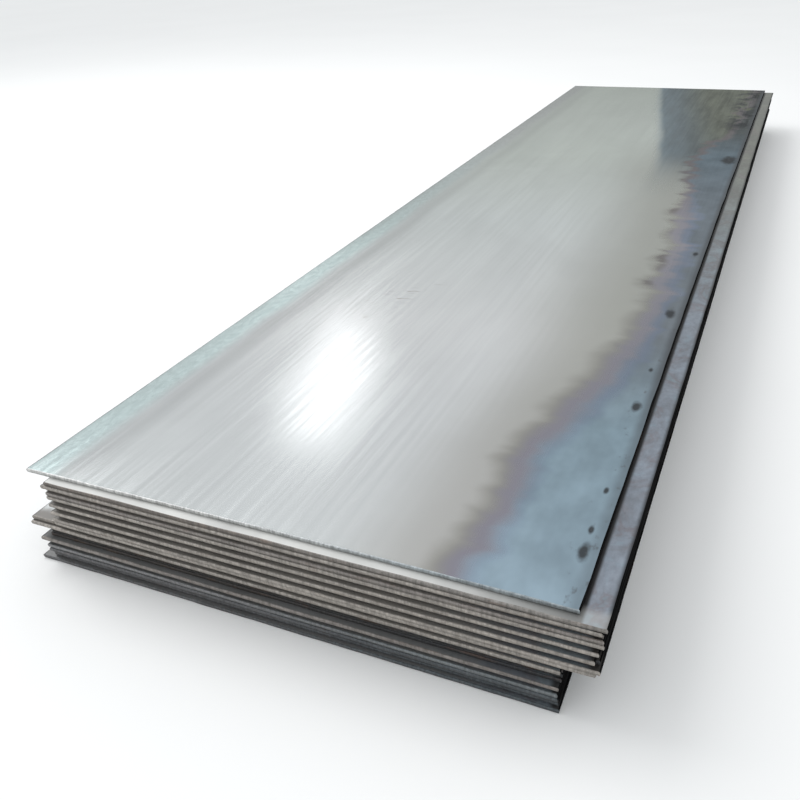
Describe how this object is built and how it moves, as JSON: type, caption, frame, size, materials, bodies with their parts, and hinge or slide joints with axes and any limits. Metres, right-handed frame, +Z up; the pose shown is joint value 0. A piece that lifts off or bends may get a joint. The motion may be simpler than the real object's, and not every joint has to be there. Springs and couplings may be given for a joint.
{
  "type": "stack of steel plates",
  "caption": "Fanned stack of hot-rolled steel plates lying flat on the ground, with sheared edges and heat-tinted mill surface; each plate is a separate solid.",
  "frame": {"origin": "middle of the bottom plate's underside", "axes": "+X across the plates, +Y along the rolling direction and away from the stepped near end, +Z up"},
  "size_m": [1.588, 6.025, 0.3],
  "materials": {
    "clean_steel": "bright mill scale, satin, with heat tints along one long edge",
    "dull_steel": "dark blue-grey mill scale with a little rust"
  },
  "bodies": {
    "root": {"plate_01": "dull_steel", "plate_02": "dull_steel", "plate_03": "dull_steel", "plate_04": "dull_steel", "plate_05": "dull_steel", "plate_06": "dull_steel", "plate_07": "dull_steel", "plate_08": "dull_steel", "plate_09": "dull_steel", "plate_10": "dull_steel", "plate_11": "clean_steel", "plate_12": "clean_steel", "plate_13": "clean_steel", "plate_14": "clean_steel", "plate_15": "clean_steel", "plate_16": "clean_steel", "plate_17": "clean_steel", "plate_18": "clean_steel", "plate_19": "clean_steel", "plate_20": "clean_steel", "plate_21": "clean_steel", "plate_22": "clean_steel", "plate_23": "clean_steel", "plate_24": "clean_steel", "plate_25": "clean_steel"}
  },
  "joints": []
}
